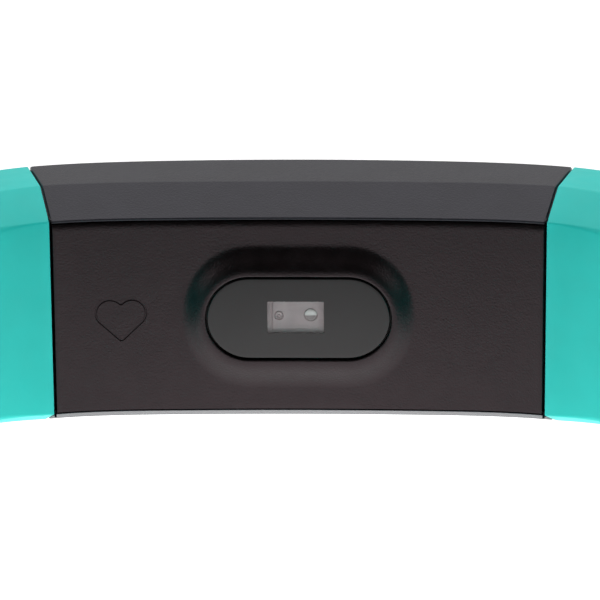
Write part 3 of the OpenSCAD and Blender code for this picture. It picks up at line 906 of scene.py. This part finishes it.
def build_keeper():
    """The keeper: a soft-edged ring of rounded section round the strap."""
    low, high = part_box("keeper")
    x0, y0, z0 = (v / MM for v in low)
    x1, y1, z1 = (v / MM for v in high)
    wall, corner, edge = 1.3, 1.9, 0.4
    path = rounded([(x0, z0), (x1, z0), (x1, z1), (x0, z1)], [corner] * 4, 8)
    section = rounded([(0, 0), (wall, 0), (wall, y1 - y0), (0, y1 - y0)], [edge] * 4, 5)
    rows = [[(x, y0 + along, z) for x, z in inset(path, deep)] for deep, along in section]
    return hoop("keeper_ring_piece", rows, sharp=50)


# ---- clasp ----

BUCKLE_L = 12.0
FAR_BAR = 2.4
ARM_IN = 9.2
ARM_OUT = 11.0
ARM_START = 0.9
BUCKLE_T = 2.0
EYE_R = 1.7
EYE_BORE = 0.46
TONGUE_BORE = 0.8
TONGUE_HALF = 1.4


def tube_piece(name, outer, inner, low, high):
    """A short tube round the spring bar, with rounded rims."""
    bx, by = bar_place()
    corners = [(inner, low), (outer, low), (outer, high), (inner, high)]
    section = rounded(corners, [0.05, 0.2, 0.2, 0.05], 4)
    return hoop(name, turn(section, lambda a, b, h: (bx + a, by + b, Z0 + h)))


def arch(far, half, radius):
    """A U of the buckle frame: out along one arm, round the far bar and back."""
    corners = [(ARM_START, -half), (far, -half), (far, half), (ARM_START, half)]
    return rounded(corners, [0, radius, radius, 0], 12, closed=False)


def build_buckle():
    """The buckle frame: a U of rounded section, with an eye at the end of each arm."""
    bx, by = bar_place()
    half = BUCKLE_T / 2
    rows = []
    for (ou, oz), (iu, iz) in zip(arch(BUCKLE_L, ARM_OUT, 3.2), arch(BUCKLE_L - FAR_BAR, ARM_IN, 1.5)):
        width = math.hypot(ou - iu, oz - iz)
        corners = [(0, -half), (width, -half), (width, half), (0, half)]
        section = rounded(corners, [0.35, 0.75, 0.75, 0.35], 5)
        rows.append([(bx + h, by - mix(iu, ou, a / width), Z0 + mix(iz, oz, a / width)) for a, h in section])
    buckle = loft("buckle_frame_piece", rows, sharp=50)
    for low, high in ((ARM_IN, ARM_OUT), (-ARM_OUT, -ARM_IN)):
        boolean(buckle, tube_piece("eye", EYE_R, EYE_BORE, low, high), "UNION", sharp=50)
    return buckle


def build_tongue():
    """The tongue: a prong that tapers to a rounded tip and lies on the frame's far bar."""
    bx, by = bar_place()
    lift = BUCKLE_T / 2 + 0.08
    reach = BUCKLE_L + 0.75
    rest = BUCKLE_L - FAR_BAR - 1.2
    rows = []
    for u in [0.0, 0.6, 1.3, 2.2, 3.4, 4.8, 6.2, 7.4, rest, 9.6, 10.8, 11.8, 12.3,
              *(reach - d for d in (0.22, 0.08, 0.02))]:
        rise = float(smooth((u - 0.8) / (rest - 0.8)))
        lost = quarter_round(reach - u, 0.55)
        low = mix(0.45, lift, rise) + 0.6 * lost
        high = mix(EYE_R - 0.02, lift + 1.15, rise) - 0.8 * lost
        half = mix(1.1, 0.85, u / reach) - 0.8 * lost
        radius = min(0.45, 0.45 * (high - low), 0.9 * half)
        section = rounded([(low, -half), (high, -half), (high, half), (low, half)],
                          [0.6 * radius, radius, radius, 0.6 * radius], 4)
        rows.append([(bx + h, by - u, Z0 + z) for h, z in section])
    tongue = loft("buckle_tongue_piece", rows, sharp=50)
    barrel = tube_piece("tongue_barrel", EYE_R, TONGUE_BORE, -TONGUE_HALF, TONGUE_HALF)
    boolean(tongue, barrel, "UNION", sharp=50)
    return cut(tongue, bar_bore("tongue_bore", TONGUE_BORE, 2), sharp=50)


def build_spring():
    """The fine coil spring that pushes the bar's tip out."""
    low, high = (np.array(corner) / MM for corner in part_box("bar_spring"))
    x, y = (low[:2] + high[:2]) / 2
    wire, turns, steps = 0.07, 11, 20
    coil, rise = (high[0] - low[0]) / 2 - wire, high[2] - low[2] - 2 * wire
    pitch = math.atan2(rise / turns, 2 * math.pi * coil)
    ring = [2 * math.pi * k / 8 for k in range(8)]
    rows = []
    for i in range(turns * steps + 1):
        a = 2 * math.pi * i / steps
        centre = np.array([x, y, low[2] + wire + rise * i / (turns * steps)])
        out = np.array([math.cos(a), math.sin(a), 0])
        side = np.array([math.sin(a) * math.sin(pitch), -math.cos(a) * math.sin(pitch), math.cos(pitch)])
        rows.append([centre + coil * out + wire * (out * math.cos(b) + side * math.sin(b)) for b in ring])
    return loft("spring_coil", rows, sharp=60)


# ---- materials ----


class Nodes:
    """Adds shader nodes to a tree."""

    def __init__(self, tree):
        self.nodes, self.links = tree.nodes, tree.links

    def feed(self, node, inputs):
        """Sets a node's inputs, each to a value or to another node's output."""
        for key, value in inputs.items():
            if isinstance(value, bpy.types.NodeSocket):
                self.links.new(value, node.inputs[key])
            else:
                node.inputs[key].default_value = value

    def add(self, kind, output, inputs=None, **settings):
        """Adds a node and returns one of its outputs."""
        node = self.nodes.new("ShaderNode" + kind)
        for key, value in settings.items():
            setattr(node, key, value)
        self.feed(node, inputs or {})
        return node.outputs[output]

    def axis(self, vector, name):
        return self.add("SeparateXYZ", name, {0: vector})

    def maths(self, operation, *values):
        return self.add("Math", 0, dict(enumerate(values)), operation=operation)

    def ranged(self, value, start, end, low, high, shape="LINEAR"):
        """Maps start to end onto low to high."""
        inputs = {"Value": value, "From Min": start, "From Max": end, "To Min": low, "To Max": high}
        return self.add("MapRange", "Result", inputs, interpolation_type=shape)

    def ramp(self, value, start, end, low, high):
        return self.ranged(value, start, end, low, high, "SMOOTHSTEP")


class Material(Nodes):
    """A Principled material whose colour, roughness and bump vary with noise in the object's own space."""

    def __init__(self, name, rough, metallic=0.0, **fixed):
        self.mat = bpy.data.materials.new(name)
        self.mat.use_nodes = True
        super().__init__(self.mat.node_tree)
        self.shader = self.nodes["Principled BSDF"]
        fixed = {key.replace("_", " "): value for key, value in fixed.items()}
        self.feed(self.shader, {"Roughness": rough, "Metallic": metallic, **fixed})
        self.place = self.add("TexCoord", "Object")
        self.relief = {}

    def stretched(self, scale):
        """The object's own place, scaled differently along each axis."""
        return self.add("Mapping", "Vector", {"Vector": self.place, "Scale": scale})

    def noise(self, size, detail=3.0, vector=None):
        """Noise whose features are about size millimetres across."""
        inputs = {"Vector": vector or self.place, "Scale": 1 / (size * MM), "Detail": detail}
        return self.add("TexNoise", "Fac", inputs)

    def colour(self, socket, first, second, start=0.35, end=0.65):
        mixed = self.add("ValToRGB", "Color", {"Fac": socket})
        stops = mixed.node.color_ramp.elements
        for stop, at, shade in ((stops[0], start, first), (stops[1], end, second)):
            stop.position = at
            stop.color = (*shade, 1)
        self.feed(self.shader, {"Base Color": mixed})
        return self

    def roughness(self, socket, low, high):
        self.feed(self.shader, {"Roughness": self.ranged(socket, 0.3, 0.7, low, high)})
        return self

    def bump(self, socket, depth):
        """Adds a relief of about depth millimetres."""
        inputs = {"Height": socket, "Distance": depth * MM, "Strength": 1.0, **self.relief}
        self.relief = {"Normal": self.add("Bump", "Normal", inputs)}
        self.feed(self.shader, self.relief)
        return self


def shade(colour, factor):
    return tuple(min(1.0, c * factor) for c in colour)


def case_material():
    m = Material("case_satin_black", 0.42, Specular_IOR_Level=0.4, Specular_Tint=(0.94, 0.915, 1.0, 1),
                 Sheen_Weight=0.03, Sheen_Roughness=0.4)
    return m.colour(m.noise(3.0), (0.0055, 0.005, 0.0085), (0.0085, 0.008, 0.0125)) \
            .roughness(m.noise(0.3), 0.39, 0.43).bump(m.noise(0.17, 4), 0.034).mat


def cover_material():
    m = Material("cover_fine_matte", 0.5, Specular_IOR_Level=0.35, Specular_Tint=(1.0, 0.78, 0.84, 1))
    return m.colour(m.noise(2.6), (0.0008, 0.0006, 0.0006), (0.0022, 0.0012, 0.0013)) \
            .roughness(m.noise(1.4), 0.30, 0.38) \
            .bump(m.noise(0.17, 4), 0.036).bump(m.noise(1.2, 3), 0.008).mat


def rubber_material():
    m = Material("strap_silicone", 0.5, Specular_IOR_Level=0.36, Sheen_Weight=0.05, Sheen_Roughness=0.4)
    return m.colour(m.noise(4.0, 4), (0.006, 0.52, 0.472), (0.007, 0.545, 0.497)) \
            .roughness(m.noise(1.6), 0.46, 0.54) \
            .bump(m.noise(0.22, 4), 0.006).bump(m.noise(2.4, 3), 0.002).mat


def window_material(name, **fixed):
    m = Material(name, 0.03, Specular_Tint=(1, 0.94, 0.95, 1), **fixed)
    return m.colour(m.noise(5.0), (0.004, 0.004, 0.0042), (0.006, 0.006, 0.0062)) \
            .roughness(m.noise(3.0), 0.02, 0.05).mat


def glass_material():
    m = Material("glass_black", 0.04, IOR=1.5)
    return m.colour(m.noise(8.0), (0.002, 0.002, 0.0025), (0.004, 0.004, 0.005)) \
            .roughness(m.noise(4.0), 0.03, 0.07).mat


def lens_highlight_material(name, low, high, at):
    """Clear resin over a chip, with painted light: its upper half is painted pale as a highlight, and its
    lower half painted darker as shade.
    """
    m = Material(name, 0.15)
    z = (Z0 + at[1]) * MM
    # painted highlight: the colour runs from shade just below the lens's centre to highlight just above it,
    # with a little noise
    height = m.ranged(m.axis(m.place, "Z"), z - 0.08 * MM, z + 0.16 * MM, 0.0, 1.0)
    mottled_highlight = m.maths("MULTIPLY_ADD", m.noise(0.3), 0.3, height)
    return m.colour(mottled_highlight, low, high, 0.15, 1.0).roughness(m.noise(0.3), 0.12, 0.2).mat


def plastic_material(name, colour, rough=0.5, grain=0.12, relief=0.004, **fixed):
    m = Material(name, rough, **fixed)
    return m.colour(m.noise(1.8), shade(colour, 0.85), shade(colour, 1.15)) \
            .roughness(m.noise(0.8), rough - 0.06, rough + 0.06).bump(m.noise(grain, 2), relief).mat


UNBRUSHED = (1, 1, 1)


def metal_material(name, colour, rough=0.3, brushed=(1, 1, 30), relief=0.002):
    m = Material(name, rough, metallic=1.0)
    lines = m.noise(1.0, 3, m.stretched(brushed))
    return m.colour(m.noise(3.0), shade(colour, 0.97), shade(colour, 1.03)) \
            .roughness(lines, rough - 0.03, rough + 0.04).bump(lines, relief).mat


def board_material():
    """Solder mask over faint copper traces."""
    m = Material("board_mask", 0.35, Coat_Weight=0.3)
    traces = m.noise(0.9, 1, m.stretched((1, 1, 4)))
    return m.colour(traces, (0.008, 0.075, 0.035), (0.02, 0.14, 0.06), 0.46, 0.54) \
            .roughness(m.noise(0.5), 0.3, 0.42).bump(traces, 0.02).mat


def foil_material():
    m = Material("battery_foil", 0.35, metallic=0.9)
    creases = m.noise(2.2, 4)
    return m.colour(m.noise(4.0), (0.5, 0.5, 0.52), (0.62, 0.62, 0.64)) \
            .roughness(m.noise(1.0), 0.28, 0.42).bump(creases, 0.03).mat


def node_materials():
    """Materials for the CAD nodes that stay, by material slot of the record."""
    return {
        "adhesive": plastic_material("foam_tape", (0.02, 0.02, 0.02), 0.85, 0.2, 0.02),
        "board_green": board_material(),
        "flex_amber": plastic_material("polyimide", (0.45, 0.2, 0.03), 0.35, 0.3, 0.003, Coat_Weight=0.4),
        "chassis_black": plastic_material("chassis_nylon", (0.02, 0.02, 0.022), 0.55, 0.15, 0.008),
        "battery_foil": foil_material(),
        "tape_yellow": plastic_material("tape", (0.6, 0.42, 0.06), 0.4, 0.4, 0.004),
        "screw_steel": metal_material("screw_steel", (0.55, 0.55, 0.56), 0.3),
        "chip_black": plastic_material("chip_epoxy", (0.012, 0.012, 0.013), 0.5, 0.08, 0.004),
        "shield_can": metal_material("shield_tin", (0.66, 0.66, 0.65), 0.32, UNBRUSHED, 0.003),
        "antenna_gold": metal_material("antenna_gold", (0.8, 0.56, 0.22), 0.3, UNBRUSHED, 0.002),
        "contact_gold": metal_material("contact_gold", (0.88, 0.63, 0.26), 0.16, UNBRUSHED, 0.001),
        "seal_rubber": plastic_material("seal_rubber", (0.012, 0.012, 0.012), 0.7, 0.2, 0.006),
        "motor_steel": metal_material("motor_can", (0.6, 0.6, 0.6), 0.3),
        "weight_dark": metal_material("weight_tungsten", (0.25, 0.25, 0.26), 0.45, UNBRUSHED, 0.006),
        "panel_black": plastic_material("panel_black", (0.006, 0.006, 0.007), 0.12, 0.5, 0.0005),
        "insert_black": plastic_material("insert_nylon", (0.02, 0.02, 0.02), 0.5, 0.15, 0.006),
        "pin_steel": metal_material("bar_steel", (0.6, 0.6, 0.61), 0.25),
    }


# ---- assembly ----


def finish_piece(obj, material, slot, *nodes):
    """Gives a piece its material and hides the CAD nodes that it stands for; slot is not used."""
    obj.data.materials.clear()
    obj.data.materials.append(material)
    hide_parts(*nodes)
    return obj


def bend(obj, first, second, joint, before, after):
    """Bakes the piece's transform into its mesh; first, second, joint, before and after are not used."""
    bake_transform(obj)


def build_pod():
    """The tracker's own visible pieces, which all ride on its body."""
    case, cover = build_case(), build_cover()
    field, clear = build_window()
    ink = plastic_material("mask_ink", (0.003, 0.003, 0.003), 0.5, 0.5, 0.0003, Specular_IOR_Level=0.1)
    resin = plastic_material("package_resin", (0.475, 0.375, 0.39), 0.55, 0.3, 0.001)
    # the lenses' pale upper halves are painted highlight, and their darker lower halves painted shade
    lens = lens_highlight_material("led_clear_highlight", (0.36, 0.28, 0.29), (0.62, 0.52, 0.53), LED_AT)
    dome = lens_highlight_material("photodiode_clear_highlight", (0.24, 0.19, 0.195), (1.0, 0.95, 0.94), DIODE_AT)
    pieces = [
        (case, case_material(), "case_black", "case_frame"),
        (cover, cover_material(), "cover_black", "back_cover"),
        (field, window_material("window_black", IOR=1.42), "window_tint", "sensor_window"),
        (clear, window_material("window_smoke", IOR=2.1, Alpha=0.16), "window_tint", "sensor_window"),
        (build_mask(), ink, "mask_ink", "window_mask"),
        (build_package(), resin, "package_grey", "sensor_package"),
        (build_led(), lens, "led_lens", "sensor_led"),
        (build_photodiode(), dome, "photodiode", "sensor_photodiode"),
        (build_glass(), glass_material(), "glass_black", "display_glass"),
    ]
    for piece in pieces:
        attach(finish_piece(*piece), "pod")


BEND_ZONES = {  # lengths before and after each flex line, in millimetres along the strap
    "short": ((5.5, 6), (6, 5), (3.5, 4.8)),
    "long": ((5.5, 6), (6, 6), (6, 2.6)),
}


def build_straps():
    """Both straps, each in three lengths, and the keeper."""
    rubber = rubber_material()
    for name, side, splits, build_end in (("short", 1, SHORT_SPLITS, build_short_end),
                                          ("long", -1, LONG_SPLITS, build_long_end)):
        root = loft(f"strap_{name}_root_piece", root_rings(side, splits[0]))
        middle = span(f"strap_{name}_mid_piece", side, *splits)
        bodies = ["pod", *(f"{name}_{place}" for place in ("inner", "middle", "end"))]
        lengths = ((root, ("root", "inner")), (middle, ("middle",)), (build_end(), ("end",)))
        for i, (obj, places) in enumerate(lengths):
            finish_piece(obj, rubber, "strap_teal", *(f"strap_{name}_{place}" for place in places))
            bend(obj, bodies[i], bodies[i + 1], f"{name}_flex_{i + 1}", *BEND_ZONES[name][i])
    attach(finish_piece(build_keeper(), rubber, "strap_teal", "keeper"), "keeper_ring")


def build_clasp():
    """The buckle, its tongue and the spring bar's spring."""
    steel = metal_material("buckle_satin", (0.4, 0.4, 0.41), 0.3, UNBRUSHED, 0.0004)
    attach(finish_piece(build_buckle(), steel, "buckle_steel", "buckle_frame"), "buckle")
    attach(finish_piece(build_tongue(), steel, "buckle_steel", "buckle_tongue"), "tongue")
    spring = finish_piece(build_spring(), steel, "screw_steel", "bar_spring")
    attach(spring, "short_end")
    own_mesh(spring)


def paint_nodes():
    """Gives the CAD nodes that stay their materials."""
    by_slot = node_materials()
    slots = {s["node"]: s["material_slot"] for s in frame["record"]["subparts"]}
    for name, obj in frame["nodes"].items():
        material = by_slot.get(slots[name])
        if material is None:
            continue
        if not obj.material_slots:
            obj.data.materials.append(material)
        for place in obj.material_slots:
            place.material = material


# ---- studio ----

FLOOR_ALBEDO = 0.8
FLOOR_GLOW = (1.68, 0.32)  # painted glow near the object, and far from it
FLOOR_POOL = (0.005, 0.065)  # metres: where the glow starts and stops falling


def build_floor():
    """A white table with a painted pool of glow under the object, standing in for a lit acrylic table; the
    glow also lights the object from below.
    """
    bpy.ops.mesh.primitive_plane_add(size=6, location=(0, 0, 0))
    floor = bpy.context.object
    floor.name = "floor"
    m = Material("floor_white", 0.9, Base_Color=(FLOOR_ALBEDO, FLOOR_ALBEDO, FLOOR_ALBEDO, 1),
                 Specular_IOR_Level=0.1, Emission_Color=(1, 1, 1, 1))
    length = m.add("VectorMath", "Value", {0: m.place}, operation="LENGTH")
    # painted pool of light: the glow is strongest under the object and fades outwards
    m.feed(m.shader, {"Emission Strength": m.ramp(length, *FLOOR_POOL, *FLOOR_GLOW)})
    floor.data.materials.append(m.mat)


LIGHT_TOP = 1.65
LIGHT_BACK = 0.5
LIGHT_SIDE = 2.15
LIGHT_FRONT = 0.03
LIGHT_LEAN = math.radians(20)  # how far the overhead light leans back


def build_world():
    """Soft light from all round: bright overhead and beside, less behind, and nearly none in front."""
    world = bpy.data.worlds.new("studio")
    scene.world = world
    world.use_nodes = True
    w = Nodes(world.node_tree)
    way = w.add("TexCoord", "Generated")
    x, y, z = (w.axis(way, name) for name in "XYZ")
    back = w.ramp(y, -0.1, 0.3, LIGHT_FRONT, LIGHT_BACK)
    beside = w.ramp(y, -0.65, -0.3, 0.0, LIGHT_SIDE)
    sides = w.maths("MULTIPLY", w.ramp(w.maths("ABSOLUTE", x), 0.45, 0.85, 0.0, 1.0), beside)
    low = w.maths("MAXIMUM", back, sides)
    upward = w.maths("MULTIPLY", z, math.cos(LIGHT_LEAN))
    top = w.ramp(w.maths("MULTIPLY_ADD", y, math.sin(LIGHT_LEAN), upward), 0.72, 0.86, 0.0, 1.0)
    overhead = w.maths("MULTIPLY", top, LIGHT_TOP)
    total = w.maths("MULTIPLY_ADD", low, w.maths("SUBTRACT", 1.0, top), overhead)
    w.feed(w.nodes["Background"], {"Strength": total, "Color": (1, 1, 1, 1)})


VIEW_DISTANCE = 400.0
VIEW_LENS = 267.4
VIEW_YAW = math.radians(1.62)
VIEW_RISE = math.radians(19.55)
VIEW_ROLL = math.radians(-0.44)
VIEW_SHIFT = (0.0021, 0.0245)


def build_camera():
    """The camera at the photograph's angle, aimed at the middle of the skin face."""
    target = np.array([0, SKIN_Y, Z0])
    level = math.cos(VIEW_RISE)
    back = np.array([math.sin(VIEW_YAW) * level, -math.cos(VIEW_YAW) * level, math.sin(VIEW_RISE)])
    right = np.cross(-back, [0, 0, 1])
    right /= np.linalg.norm(right)
    up = np.cross(right, -back)
    c, s = math.cos(VIEW_ROLL), math.sin(VIEW_ROLL)
    place = (target + VIEW_DISTANCE * back) * MM
    columns = np.stack([c * right + s * up, -s * right + c * up, back, place], 1)
    data = bpy.data.cameras.new("camera")
    data.lens = VIEW_LENS
    data.sensor_width = 36
    data.shift_x, data.shift_y = VIEW_SHIFT
    data.clip_start, data.clip_end = 0.01, 20
    camera = bpy.data.objects.new("camera", data)
    camera.matrix_world = Matrix([*columns.tolist(), [0, 0, 0, 1]])
    scene.collection.objects.link(camera)
    scene.camera = camera


build_camera()
build_floor()
build_world()
build_pod()
build_straps()
build_clasp()
paint_nodes()
scene.view_settings.view_transform = "Standard"
